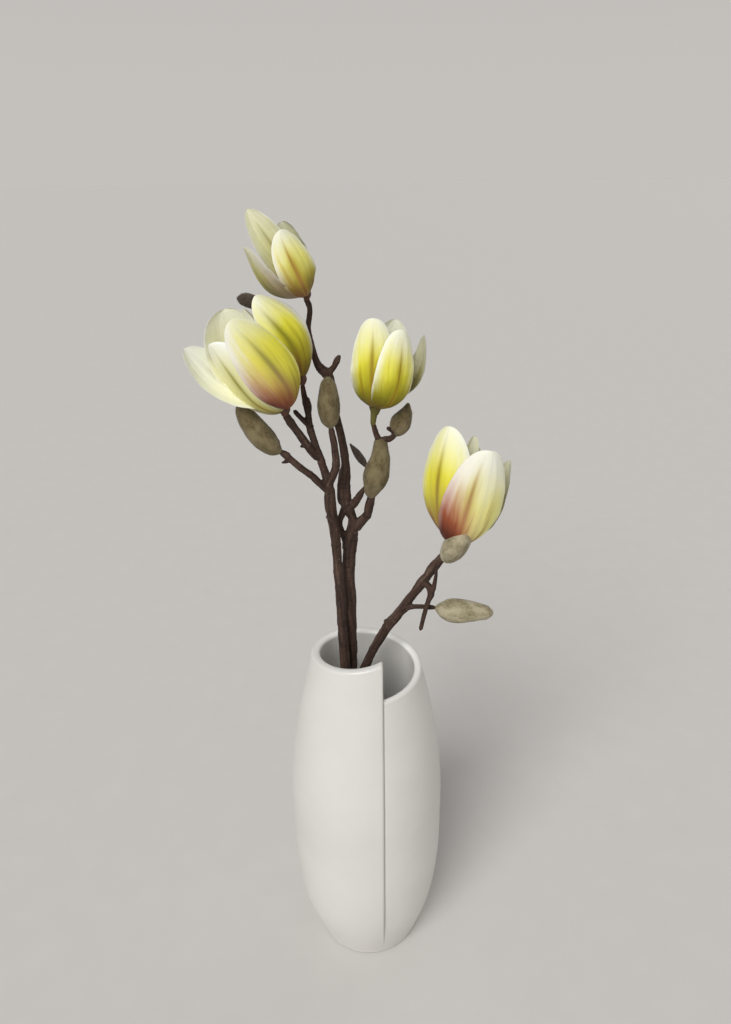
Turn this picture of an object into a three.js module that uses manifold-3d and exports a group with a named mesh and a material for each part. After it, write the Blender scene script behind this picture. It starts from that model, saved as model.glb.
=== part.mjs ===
// Magnolia branches with five blooms and felted buds, standing in a rolled-sheet ceramic vase.
// Millimetres, +Z up. The origin is the centre of the vase's foot, and -Y is the front, where the seam is.
import * as THREE from "three";
import { mergeVertices } from "three/addons/utils/BufferGeometryUtils.js";
import Module from "manifold-3d";

const wasm = await Module();
wasm.setup();
const { Manifold, Mesh: SolidMesh } = wasm;

// Driving dimensions
const CLEARANCE = 0.3; // between pieces that touch
const VASE = {
  highRim: 300, // just left of the seam
  lowRim: 270, // just right of the seam
  rimFall: 0.75, // the rim falls faster on its way round to the left than on the right
  seamOffset: 12.5, // the seam stands in a plane this far right of the axis
  lap: 2.2, // how far the outer end of the sheet stands proud at the seam
  lapStart: 8,
  lapFull: 60, // the lap grows from nothing near the foot to its full depth at this height
  wall: 5.5,
  floor: 8,
  footRadius: 38, // of the flat disc it stands on
  // the rounded edge of the foot, as radius and height
  footEdge: [[43.5, 1.5], [44.4, 6]],
  // height, outer radius
  outline: [
    [0, 42.8], [40, 54.3], [85, 59.8], [125, 60.5], [165, 60],
    [205, 56.3], [240, 50], [270, 43.2], [300, 36.4],
  ],
  innerHeights: [230, 185, 140, 95, 50, 22], // of the rings down the inside
  innerFillet: 5, // where the wall meets the floor
  outerRows: 9,
  lipRows: 4,
  upperRows: 2,
  columns: 36,
};
const PETAL = {
  thickness: 1, // at the middle, and the edge is 0.7 of it
  rows: 8,
  columns: 4,
  roundness: 0.5, // smaller is blunter
  widestAt: 1, // an exponent: over 1 moves the widest place towards the tip
  bowAt: 0.65, // the same for the bow
};
const COLOURS = {
  glaze: 0xe9e6e0,
  bark: 0x4a332b,
  petal: 0xd9d98a,
  felt: 0x8f8a6c,
  darkBud: 0x4a4438,
};

const vector = ([x, y, z]) => new THREE.Vector3(x, y, z);

// A closed solid from points and triangles that share them by index.
function solidOf(points, triangles) {
  const geometry = new THREE.BufferGeometry().setFromPoints(points);
  geometry.setIndex(triangles);
  return solidOfGeometry(geometry);
}

function solidOfGeometry(geometry) {
  const bare = geometry.clone();
  bare.deleteAttribute("normal");
  bare.deleteAttribute("uv");
  const merged = mergeVertices(bare, 1e-4);
  const index = merged.index.array;
  const triVerts = [];
  for (let i = 0; i < index.length; i += 3) {
    const [a, b, c] = index.slice(i, i + 3);
    if (a !== b && b !== c && c !== a) triVerts.push(a, b, c);
  }
  return new Manifold(
    new SolidMesh({
      numProp: 3,
      vertProperties: merged.attributes.position.array,
      triVerts: new Uint32Array(triVerts),
    }),
  );
}

// The biggest body, because cutting a bloom or bud to fit a twig can leave a crumb.
const mainBody = (solid) =>
  solid.decompose().reduce((best, body) => (body.volume() > best.volume() ? body : best));

function meshOf(name, solid, colour, roughness) {
  const { vertProperties, triVerts } = solid.getMesh();
  const geometry = new THREE.BufferGeometry();
  geometry.setAttribute("position", new THREE.BufferAttribute(vertProperties, 3));
  geometry.setIndex(new THREE.BufferAttribute(triVerts, 1));
  geometry.computeVertexNormals();
  const material = new THREE.MeshStandardMaterial({ color: colour, roughness, metalness: 0 });
  const mesh = new THREE.Mesh(geometry, material);
  mesh.name = name;
  return mesh;
}

// A limb runs through [x, y, z, radius] points on a smooth curve, with a flat end or a nearly pointed one.
function limb(points, { sides = 7, steps = 1, grow = 0 } = {}) {
  const curve = new THREE.CatmullRomCurve3(points.map(vector), false, "centripetal");
  const radii = new THREE.SplineCurve(points.map((p, i) => new THREE.Vector2(i, p[3])));
  const count = (points.length - 1) * steps;
  const rings = [];
  const first = curve.getTangent(0);
  let normal = Math.abs(first.z) > 0.8 ? new THREE.Vector3(1, 0, 0) : new THREE.Vector3(0, 0, 1);
  for (let k = 0; k <= count; k++) {
    const centre = curve.getPoint(k / count);
    const tangent = curve.getTangent(k / count);
    if (grow && k === 0) centre.addScaledVector(tangent, -grow);
    if (grow && k === count) centre.addScaledVector(tangent, grow);
    normal = normal.clone().addScaledVector(tangent, -normal.dot(tangent)).normalize();
    const side = tangent.clone().cross(normal);
    const radius = radii.getPoint(k / count).y + grow;
    rings.push(
      Array.from({ length: sides }, (_, i) => {
        const turn = (2 * Math.PI * i) / sides;
        return centre
          .clone()
          .addScaledVector(normal, radius * Math.cos(turn))
          .addScaledVector(side, radius * Math.sin(turn));
      }),
    );
  }
  return solidOf(...skin(rings));
}

// Joins rings of equal count side by side and closes both ends with a fan.
function skin(rings) {
  const sides = rings[0].length;
  const points = rings.flat();
  const triangles = [];
  const at = (k, i) => k * sides + (i % sides);
  for (let k = 0; k + 1 < rings.length; k++)
    for (let i = 0; i < sides; i++)
      triangles.push(at(k, i), at(k, i + 1), at(k + 1, i), at(k, i + 1), at(k + 1, i + 1), at(k + 1, i));
  for (const [k, forward] of [[0, false], [rings.length - 1, true]]) {
    const middle = points.length;
    points.push(rings[k].reduce((sum, p) => sum.add(p), new THREE.Vector3()).divideScalar(sides));
    for (let i = 0; i < sides; i++)
      triangles.push(middle, at(k, i + (forward ? 0 : 1)), at(k, i + (forward ? 1 : 0)));
  }
  return [points, triangles];
}

const branch = (limbs, grow = 0) =>
  Manifold.union(limbs.map(([points, options]) => limb(points, { ...options, grow })));

// A petal is a cupped blade from the bloom's base to its tip. Its outer side faces the direction given,
// bow is how far its middle swells that way, sweep how far it swings across, and cup how far its edges
// turn back towards the others.
function petal(base, shape, grow = 0) {
  const { tip, face, bow, sweep = 0, width, cup, roundness, widestAt, bowAt } = { ...PETAL, ...shape };
  const { thickness, rows, columns } = PETAL;
  const span = vector(tip).sub(base);
  const sideways = span.clone().cross(vector(face)).normalize();
  const out = sideways.clone().cross(span).normalize();
  const middle = (s) => {
    const swell = Math.sin(Math.PI * s ** bowAt);
    return base
      .clone()
      .addScaledVector(span, s)
      .addScaledVector(out, bow * swell)
      .addScaledVector(sideways, sweep * swell);
  };
  const upper = [];
  const lower = [];
  for (let j = 0; j <= rows; j++) {
    const s = 0.003 + 0.994 * (0.5 - 0.5 * Math.cos((Math.PI * j) / rows));
    const centre = middle(s);
    const along = middle(Math.min(s + 0.002, 1)).sub(middle(s - 0.002)).normalize();
    const across = along.clone().cross(out).normalize();
    const normal = across.clone().cross(along).normalize();
    const fullness = Math.sin(Math.PI * s ** widestAt) ** roundness;
    for (let i = 0; i <= columns; i++) {
      const w = (2 * i) / columns - 1;
      const half = (thickness * (1 - 0.3 * w * w)) / 2 + grow;
      const point = centre
        .clone()
        .addScaledVector(across, w * ((width / 2) * fullness + grow))
        .addScaledVector(normal, -cup * fullness * w * w);
      upper.push(point.clone().addScaledVector(normal, half));
      lower.push(point.clone().addScaledVector(normal, -half));
    }
  }
  const under = upper.length;
  const at = (j, i) => j * (columns + 1) + i;
  const triangles = [];
  for (let j = 0; j < rows; j++)
    for (let i = 0; i < columns; i++) {
      const [a, b, c, d] = [at(j, i), at(j, i + 1), at(j + 1, i + 1), at(j + 1, i)];
      triangles.push(a, b, c, a, c, d, under + a, under + c, under + b, under + a, under + d, under + c);
    }
  const edge = [];
  for (let i = 0; i < columns; i++) edge.push(at(0, i));
  for (let j = 0; j < rows; j++) edge.push(at(j, columns));
  for (let i = columns; i > 0; i--) edge.push(at(rows, i));
  for (let j = rows; j > 0; j--) edge.push(at(j, 0));
  edge.forEach((a, k) => {
    const b = edge[(k + 1) % edge.length];
    triangles.push(a, under + a, b, b, under + a, under + b);
  });
  return solidOf([...upper, ...lower], triangles);
}

// A bloom is its petals fused to a small core at their roots, and a stalk where it has one.
function bloom({ base, core, petals, stalk }, grow = 0) {
  const root = vector(base);
  const ball = new THREE.SphereGeometry(core + grow, 10, 6).translate(...base);
  const parts = petals.map((p) => petal(root, p, grow));
  if (stalk) parts.push(limb(stalk, { grow }));
  return Manifold.union([solidOfGeometry(ball), ...parts]);
}

// The vase is one sheet rolled round once: its rim falls and its radius shrinks from the seam round the
// left, the back and the right to the seam again, where the tall outer end laps the low inner end.
function vase() {
  const { highRim, lowRim, rimFall, seamOffset, lap, lapStart, lapFull, wall, floor } = VASE;
  const { footRadius, footEdge, innerFillet, outerRows, lipRows, upperRows, columns } = VASE;
  const outline = new THREE.SplineCurve(VASE.outline.map(([z, r]) => new THREE.Vector2(z, r)));
  const heights = outline.getPoints(200);
  const radiusAt = (z) => {
    const k = heights.findIndex((p) => p.x >= z);
    if (k <= 0) return heights.at(k).y;
    const [a, b] = [heights[k - 1], heights[k]];
    return a.y + ((b.y - a.y) * (z - a.x)) / (b.x - a.x);
  };
  const lapAt = (z, t) => lap * (1 - t) * THREE.MathUtils.smoothstep(z, lapStart, lapFull);
  const sharedTop = lowRim - wall / 2; // the inside is the same at both ends of the sheet up to here
  const innerHeights = [sharedTop, ...VASE.innerHeights];

  // Radius and height from the middle of the foot, up the outside, over the lip and down the inside.
  function section(t) {
    const rim = highRim - (highRim - lowRim) * t ** rimFall;
    const points = [[0, 0], [footRadius, 0], ...footEdge];
    const top = rim - wall / 2;
    for (let k = 0; k <= outerRows; k++) {
      const z = lapStart + ((top - lapStart) * k) / outerRows;
      points.push([radiusAt(z) + lapAt(z, t), z]);
    }
    const outer = radiusAt(top) + lapAt(top, t);
    const inner = radiusAt(top) - wall;
    for (let k = 1; k < lipRows; k++) {
      const turn = (Math.PI * k) / lipRows;
      const half = (outer - inner) / 2;
      points.push([inner + half + half * Math.cos(turn), top + (wall / 2) * Math.sin(turn)]);
    }
    for (let k = 0; k < upperRows; k++) {
      const z = top - ((top - sharedTop) * k) / upperRows;
      points.push([radiusAt(z) - wall, z]);
    }
    for (const z of innerHeights) points.push([radiusAt(z) - wall, z]);
    points.push([radiusAt(floor) - wall - innerFillet, floor], [0, floor]);
    return points;
  }

  const sections = Array.from({ length: columns + 1 }, (_, i) => section(i / columns));
  const rows = sections[0].length;
  const place = ([r, z], turn) => {
    const angle = turn - Math.PI / 2 + Math.asin(Math.min(1, seamOffset / Math.max(r, 1)));
    return new THREE.Vector3(r * Math.cos(angle), r * Math.sin(angle), z);
  };
  const points = sections.flatMap((column, i) =>
    column.map((p) => place(p, (-2 * Math.PI * (i % columns)) / columns)),
  );
  const triangles = [];
  for (let i = 0; i < columns; i++)
    for (let k = 0; k + 1 < rows; k++) {
      const [a, b, c, d] = [i * rows + k, (i + 1) * rows + k, (i + 1) * rows + k + 1, i * rows + k + 1];
      triangles.push(a, c, b, a, d, c);
    }

  // The step at the seam: from the edge of the foot up the tall end, and back down the low one.
  const low = 2 + footEdge.length;
  const high = rows - innerHeights.length - 2;
  const tall = Array.from({ length: high - low + 1 }, (_, k) => low + k);
  const short = tall.slice(1, -1 - upperRows).map((k) => columns * rows + k).reverse();
  const loop = [...tall, ...short];
  const flat = loop.map((k) => {
    const [r, z] = sections[Math.floor(k / rows)][k % rows];
    return new THREE.Vector2(r, z);
  });
  for (const [a, b, c] of THREE.ShapeUtils.triangulateShape(flat, []))
    triangles.push(loop[a], loop[c], loop[b]);
  return solidOf(points, triangles);
}

// Limbs of the left stem, from the vase's floor to its ends. Points are [x, y, z, radius].
const LEFT_STEM = [
  [[
    [-2, -11, 8.3, 4.3], [-5, -10, 90, 4.3], [-11, -8, 190, 4.2], [-15.5, -6, 280, 3.8],
    [-17.5, -6, 338, 3.4], [-19, -6, 371, 3.4], [-20, -6, 393, 3.9], [-22, -6, 409, 3.8], [-22.5, -5, 421, 3.7],
    [-24.5, -5, 431.5, 2.9], [-27.5, -5, 443, 2.7], [-31, -4, 454, 2.4], [-34, -3, 465, 2.5],
    [-34.5, -3, 473, 2.1], [-36, -3, 482, 2.1], [-37, -3, 489, 1.8], [-37.5, -3, 494, 1.6],
  ]],
  // to the left bloom, with a stub below
  [[
    [-29, -5, 444, 2.6], [-33.5, -8, 450.5, 2.6], [-36, -11, 456.5, 2.8], [-43, -17, 470, 2.5],
    [-48, -20, 480, 2.5],
  ]],
  [[[-37, -11, 456, 1.8], [-40.5, -11, 454.5, 0.9]], { sides: 5 }],
  // to the left bud, with a spur
  [[
    [-24, -5, 421, 2.7], [-29.5, -8, 428, 2.5], [-33.5, -10, 433.5, 2.3], [-41, -13, 441, 2.4],
    [-46.5, -15, 447.5, 2.3], [-49.5, -16, 451, 2.6], [-53, -17, 454, 1.6],
  ]],
  [[[-47, -15, 447.5, 1.8], [-50, -15, 446, 1.4], [-53, -15, 445, 0.6]], { sides: 5 }],
  // across to the middle bud
  [[
    [-23, -5, 425, 2.7], [-19.5, -8, 433.5, 2.7], [-17.5, -9, 440, 2.7], [-18, -9, 454, 2.3],
    [-19, -9, 461, 2.1], [-20, -9, 467.5, 1.9],
  ]],
  // a cut twig, and spurs
  [[[-34, -3, 466, 1.8], [-38, -4, 470.5, 1.8], [-44, -4, 477.5, 1.6]], { sides: 6 }],
  [[[-34.5, -3, 473, 1.6], [-33.5, -4, 480, 1.5], [-34, -4, 486, 0.5]], { sides: 5 }],
  [[[-20.5, -6, 401, 2], [-26, -7, 402, 0.7]], { sides: 5 }],
];

// Limbs of the right stem, which carries the top, middle and right blooms.
const RIGHT_STEM = [
  [[
    [-20, 9, 8.3, 4.7], [-17, 7, 90, 4.7], [-13, 5, 190, 4.7], [-11, 4, 273, 4.6], [-10.5, 4, 325, 4.5],
    [-11, 4, 352, 4.4], [-10, 4, 375, 5.2], [-8, 4, 386, 4.4], [-7.5, 4, 396, 3.3], [-10.5, 4, 403.5, 4.2],
    [-12.5, 4, 410, 4.6], [-13, 4, 419, 4.6], [-12.5, 5, 427.5, 4.3], [-11.5, 6, 434.5, 3.1],
    [-12, 7, 442, 2.9], [-13, 8, 450, 2.7], [-16.5, 10, 466, 2.7], [-18.5, 11, 477.5, 2.7],
    [-22, 11, 497, 3.7], [-26, 11, 500.5, 3.1], [-29, 12, 505.5, 2.3], [-32.5, 14, 519.5, 1.9],
    [-33.5, 15, 526.5, 1.8], [-32, 14, 539, 1.9], [-34, 12, 545.5, 1.9],
  ]],
  // a strand that leaves the stem and joins it again above
  [[[-12, 4, 376, 2.9], [-15.5, 5, 385.5, 2.1], [-16.5, 5, 392.5, 1.9], [-13, 4, 404.5, 2.8]]],
  // a knob beside the fork above the middle bud, and a spur in front of the forked bud
  [[[-21, 11, 498, 2.6], [-17.5, 10, 502, 2], [-15.5, 9, 506, 2.1], [-13.5, 9, 510, 1.2]], { sides: 6 }],
  [[[-9, 3, 405, 3], [-5.5, 2, 409, 2.8], [-1.5, 1, 415.5, 2.3], [1.5, 0, 422, 0.8]], { sides: 6 }],
  // through the forked bud to the middle bloom
  [[
    [-6, 3, 388, 3.8], [-1, 2, 394.5, 3.5], [3, 1, 400, 3.1], [4.5, 0, 407, 3.1], [6, -2, 415, 2.7],
    [9, -2, 426, 2.3], [12, -1, 441, 2.3], [12, 0, 452, 2.3], [9.5, 0, 459, 2], [7.5, 0, 466.5, 1.8],
  ]],
  [[[12, 0, 450, 2.2], [14.5, 0, 455, 2.1], [18, 1, 455, 2.2], [22.5, 2, 457.5, 1.7]], { sides: 6 }],
  [[[22.5, 2, 458, 1.5], [19, 1.5, 461.5, 1.5], [16.5, 1, 463, 1.3]], { sides: 6 }],
  // behind the forked bud to the dark leaf bud
  [[[3, 0, 400, 2], [5, 7, 410, 1.5], [6, 12, 421, 1.4], [3, 12, 432, 1.4]], { sides: 6 }],
  // behind the left blooms to the dark bud
  [[[-32.5, 14, 519, 1.6], [-42, 21, 528, 1.4], [-54, 22, 535, 1.3], [-63, 22, 539, 1.3]], { sides: 6 }],
  // the low branch, which leans out over the rim
  [[
    [-11, 4, 238, 3.6], [-6, 6, 254, 3.5], [1, 6, 270.5, 3.5], [7, 6, 284.5, 3.3], [12.5, 6, 295, 3.4],
    [18.5, 6, 306, 4], [23, 6, 312, 3.9], [33, 6, 327, 3.4], [37.5, 5, 334.5, 3.3], [42, 4, 342.5, 3.9],
    [46, 3, 349, 3.3], [50.5, 3, 356, 3.8], [57, 1, 366, 2.9],
  ]],
  [[[27, 6, 316, 2.6], [32.5, 4, 321.5, 2.1], [40.5, 2, 323.5, 1.9], [53, 0, 323.5, 1.7]], { sides: 6 }],
  [[
    [42.5, 4, 343, 2.6], [47, -1, 342.5, 2.7], [48.5, -4, 338.5, 2.9], [46.5, -5, 332.5, 2],
    [44, -6, 323, 1.8], [41, -6, 308, 1.7],
  ], { sides: 6 }],
  [[[48.5, -4, 338, 2.4], [50.5, -4, 344.5, 1.8], [51.5, -4, 352, 1.4], [52.5, -4, 361, 0.6]], { sides: 6 }],
  [[[18, 6, 306, 3], [15, 5, 310, 1.6]], { sides: 5 }],
];

// Blooms, each with its base, the radius of its core and its petals.
const BLOOMS = {
  bloom_left: {
    base: [-48, -20, 483],
    core: 4.5,
    petals: [
      {
        tip: [-73, -45, 542], face: [0.61, -0.79, -0.07], bow: 17, sweep: 3, width: 34, cup: 9,
        roundness: 0.44,
      },
      {
        tip: [-106, -22, 522], face: [-0.28, 0.6, -0.73], bow: 7, sweep: 4, width: 27, cup: 5,
        widestAt: 1.5, bowAt: 1.1,
      },
      {
        tip: [-88, -34, 527], face: [-0.6, -0.77, -0.2], bow: 11, width: 37, cup: 7,
        widestAt: 1.15, roundness: 0.46,
      },
      {
        tip: [-80, -18, 544.5], face: [0, 1, 0.1], bow: 5, sweep: 8, width: 40, cup: 8,
        widestAt: 1.35, roundness: 0.38,
      },
      { tip: [-66, -24, 536], face: [0.75, 0.55, 0.2], bow: 5, width: 26, cup: 6 },
    ],
  },
  bloom_left_back: {
    base: [-37.5, -3, 497.5],
    core: 3.6,
    petals: [
      {
        tip: [-63, -11, 550.5], face: [0.72, -0.64, 0.27], bow: 12, sweep: 4.5, width: 34, cup: 8,
        bowAt: 0.8,
      },
      { tip: [-73, 2, 541], face: [-0.8, -0.1, -0.4], bow: 7, width: 24, cup: 6 },
      { tip: [-59, 6, 545], face: [0, 0.95, 0.1], bow: 5, width: 28, cup: 6 },
    ],
  },
  bloom_top: {
    base: [-33.5, 12, 548],
    core: 3.6,
    petals: [
      {
        tip: [-46, -2, 587], face: [0.63, -0.78, -0.08], bow: 12, sweep: -2.5, width: 27, cup: 7,
        roundness: 0.42,
      },
      { tip: [-67.5, 16, 597.5], face: [-0.1, 0.98, -0.15], bow: 3, width: 21, cup: 5 },
      { tip: [-47.5, 20, 590], face: [0.3, 0.9, 0.1], bow: 5, width: 22, cup: 5, roundness: 0.36 },
      {
        tip: [-70, 8, 576.5], face: [-0.6, -0.42, -0.68], bow: 12, width: 34, cup: 4,
        bowAt: 0.75, roundness: 0.55,
      },
      { tip: [-46, 12, 578], face: [0.9, 0.3, 0], bow: 4, width: 18, cup: 5 },
    ],
  },
  bloom_middle: {
    base: [9, 0, 477.5],
    core: 4.5,
    stalk: [[7.5, 0, 466.8, 1.7], [8, 0, 471.5, 2.2], [9, 0, 477.5, 3]],
    petals: [
      {
        tip: [8, -8, 536], face: [-0.2, -0.97, -0.15], bow: 13, width: 28.5, cup: 7,
        widestAt: 0.9, roundness: 0.36,
      },
      {
        tip: [25.5, -12, 529.5], face: [0.3, -0.89, -0.32], bow: 14.5, sweep: 1, width: 27, cup: 5,
        widestAt: 0.88, roundness: 0.39,
      },
      { tip: [23, 10, 532], face: [0.1, 0.95, 0], bow: 9, width: 28, cup: 7, roundness: 0.42 },
      {
        tip: [40.5, 3, 523], face: [0.85, 0.45, -0.35], bow: 15, width: 20, cup: 4,
        bowAt: 1.05, roundness: 0.6,
      },
      { tip: [7, 8, 530], face: [-0.75, 0.65, 0], bow: 9.2, width: 24, cup: 6 },
    ],
  },
  bloom_right: {
    base: [65, 4, 376],
    core: 5,
    petals: [
      {
        tip: [57.5, -2, 464.5], face: [-0.6, -0.79, -0.05], bow: 17, width: 39, cup: 9,
        widestAt: 1.15, bowAt: 0.8, roundness: 0.46,
      },
      {
        tip: [82.5, -22, 454], face: [0.08, -0.93, -0.35], bow: 17, sweep: -1, width: 43, cup: 10,
        roundness: 0.43,
      },
      { tip: [77, 14, 452], face: [-0.1, 1, 0.1], bow: 9, width: 14, cup: 4, roundness: 0.36 },
      { tip: [77, 18, 445], face: [0.4, 0.9, 0], bow: 8, width: 40, cup: 6 },
      {
        tip: [101, 4, 437.5], face: [0.75, 0.6, -0.26], bow: 13, sweep: -2, width: 25, cup: 6,
        roundness: 0.66,
      },
    ],
  },
};

// Felted buds as limbs whose radius swells and closes.
const BUDS = {
  bud_left: {
    points: [
      [-52, -16.5, 453, 1.9], [-56.5, -16.5, 456, 5.6], [-63.5, -16, 463, 7.8], [-71, -13, 472, 7],
      [-76, -10.5, 480, 4.8], [-78, -9, 486, 1.2],
    ],
  },
  bud_middle: {
    points: [
      [-20, -9, 466.5, 2.5], [-20.5, -9, 471, 5.5], [-21, -8.5, 480, 7.2], [-21, -7, 490, 6],
      [-21, -5.5, 496, 4.4], [-21, -4.5, 499, 2.4],
    ],
  },
  bud_forked: {
    points: [
      [6, -2, 414, 3.6], [6.2, -2, 419, 5.4], [8, -2, 425.5, 8], [9.7, -2, 432.5, 8.6], [12, -1, 442, 6.6],
      [12.3, 0, 450, 5], [12, 0, 456, 4],
    ],
  },
  bud_small: {
    points: [
      [21.5, 2, 457, 1.8], [22.8, 3, 459, 4.8], [25.8, 4, 465, 6.9], [29.3, 5, 472, 4.4], [31, 6, 478, 1],
    ],
  },
  bud_low: {
    points: [
      [52, 0, 323.5, 1.8], [55, 0, 323, 4.6], [60, -1, 322.5, 7.6], [67, -2, 322, 9], [76, -3, 322, 8],
      [84, -4, 322, 6.4], [90, -5, 322, 4.8], [94, -6, 322, 2.6],
    ],
  },
  bud_back: {
    dark: true,
    points: [
      [-62, 22, 539, 1.5], [-66, 22, 541, 4], [-72, 22, 543, 4.4], [-76.5, 22, 544, 3.2],
      [-79, 22, 544.5, 1],
    ],
  },
  bud_leaf: {
    dark: true,
    points: [[3, 12, 431, 1.3], [-0.5, 12, 436.5, 2.6], [-4.5, 12, 442.5, 2.3], [-8.5, 12, 448.5, 0.6]],
  },
};

// The felted bract at the foot of the right bloom.
const BRACT = [
  [57.5, 0.5, 365, 2.5], [59.5, -3, 368.5, 6], [63, -8, 377, 8.4], [67, -13.5, 387.5, 7.4],
  [70.5, -17, 397, 3],
];

const stems = { left: LEFT_STEM, right: RIGHT_STEM };
const sockets = { left: branch(LEFT_STEM, CLEARANCE), right: branch(RIGHT_STEM, CLEARANCE) };
const clearOfStems = (solid) => mainBody(solid.subtract(sockets.left).subtract(sockets.right));

const magnolia = new THREE.Group();
magnolia.add(meshOf("vase", vase(), COLOURS.glaze, 0.35));
for (const [side, limbs] of Object.entries(stems))
  magnolia.add(meshOf(`stem_${side}`, branch(limbs), COLOURS.bark, 0.85));
for (const [name, parts] of Object.entries(BLOOMS))
  magnolia.add(meshOf(name, clearOfStems(bloom(parts)), COLOURS.petal, 0.6));
for (const [name, { points, dark }] of Object.entries(BUDS)) {
  const felt = clearOfStems(limb(points, { sides: 10, steps: 2 }));
  magnolia.add(meshOf(name, felt, dark ? COLOURS.darkBud : COLOURS.felt, 0.95));
}
const bract = limb(BRACT, { sides: 10, steps: 2 }).subtract(bloom(BLOOMS.bloom_right, CLEARANCE));
magnolia.add(meshOf("bract_right", clearOfStems(bract), COLOURS.felt, 0.95));

export default magnolia;
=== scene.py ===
from math import asin, cos, hypot, pi, radians, sin

import bpy
import numpy as np
from mathutils import Matrix, Vector, kdtree


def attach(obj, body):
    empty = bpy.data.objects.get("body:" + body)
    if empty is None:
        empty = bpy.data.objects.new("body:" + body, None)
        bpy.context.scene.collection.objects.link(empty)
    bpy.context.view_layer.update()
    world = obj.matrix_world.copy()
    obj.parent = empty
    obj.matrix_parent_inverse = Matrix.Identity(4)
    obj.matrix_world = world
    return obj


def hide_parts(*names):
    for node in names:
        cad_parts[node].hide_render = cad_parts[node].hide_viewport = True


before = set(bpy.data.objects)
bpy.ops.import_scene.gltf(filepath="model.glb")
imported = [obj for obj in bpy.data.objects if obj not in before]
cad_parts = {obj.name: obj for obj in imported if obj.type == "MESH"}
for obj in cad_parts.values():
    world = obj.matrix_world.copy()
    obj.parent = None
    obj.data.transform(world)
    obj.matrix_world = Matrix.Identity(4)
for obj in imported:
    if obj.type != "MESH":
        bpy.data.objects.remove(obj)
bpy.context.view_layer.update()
mm = 0.001
perSquareMillimetre = 1e6  # in points for each square metre
print("frame loaded:", len(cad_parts), "nodes")

camera = {
    "place": (1.66, -468.0, 616.5),
    "lookDown": 24.6,
    "roll": -0.81,
    "lens": 26.02,
    "sensor": 36.0,  # along the long side of the picture
}


def addCamera():
    lens = bpy.data.cameras.new("camera")
    lens.lens = camera["lens"]
    lens.sensor_width = camera["sensor"]
    lens.clip_start = 0.01
    holder = bpy.data.objects.new("camera", lens)
    tilt = Matrix.Rotation(radians(90 - camera["lookDown"]), 4, "X")
    roll = Matrix.Rotation(radians(camera["roll"]), 4, "Z")
    holder.matrix_world = Matrix.Translation(Vector(camera["place"]) * mm) @ tilt @ roll
    bpy.context.collection.objects.link(holder)
    bpy.context.scene.camera = holder


addCamera()


# Node trees written as sums

class Value:
    # an output socket that can stand in Python sums
    def __init__(self, tree, socket):
        self.tree = tree
        self.socket = socket

    def __add__(self, other):
        return self.tree.calculate("ADD", self, other)

    def __radd__(self, other):
        return self.tree.calculate("ADD", other, self)

    def __sub__(self, other):
        return self.tree.calculate("SUBTRACT", self, other)

    def __rsub__(self, other):
        return self.tree.calculate("SUBTRACT", other, self)

    def __mul__(self, other):
        return self.tree.calculate("MULTIPLY", self, other)

    def __rmul__(self, other):
        return self.tree.calculate("MULTIPLY", other, self)

    def __truediv__(self, other):
        return self.tree.calculate("DIVIDE", self, other)

    def __pow__(self, other):
        return self.tree.calculate("POWER", self, other)


def isVector(value):
    return value.socket.type == "VECTOR" if isinstance(value, Value) else isinstance(value, tuple)


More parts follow.
